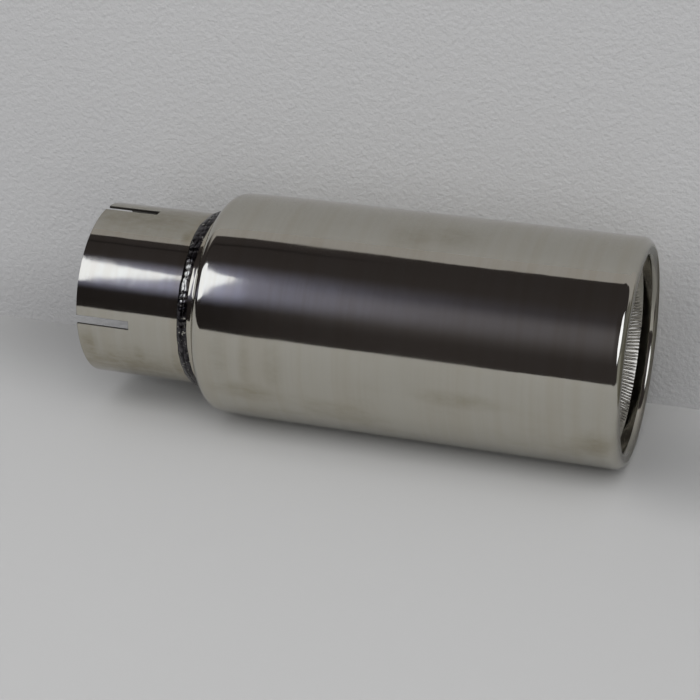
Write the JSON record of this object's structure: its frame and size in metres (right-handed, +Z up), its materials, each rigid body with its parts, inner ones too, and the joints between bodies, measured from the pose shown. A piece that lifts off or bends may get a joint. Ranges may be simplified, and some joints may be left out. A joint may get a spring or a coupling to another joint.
{
  "type": "exhaust tip",
  "caption": "Round polished stainless exhaust tip: slotted inlet tube welded into the necked collar of a wider shell with a rolled-in outlet lip.",
  "frame": {"origin": "centre of the inlet tube's open end, on the tip's axis", "axes": "+X along the axis from the inlet to the outlet, +Z up, one clamping slot on top"},
  "size_m": [0.248, 0.1016, 0.1016],
  "materials": {
    "polished_inlet": "mirror-polished stainless steel, faint rings from polishing",
    "polished_shell": "mirror-polished stainless steel, faint rings from polishing",
    "weld_metal": "dark glossy weld metal, left as laid"
  },
  "bodies": {
    "root": {"inlet_tube": "polished_inlet", "outer_shell": "polished_shell", "weld_bead": "weld_metal"}
  },
  "joints": []
}
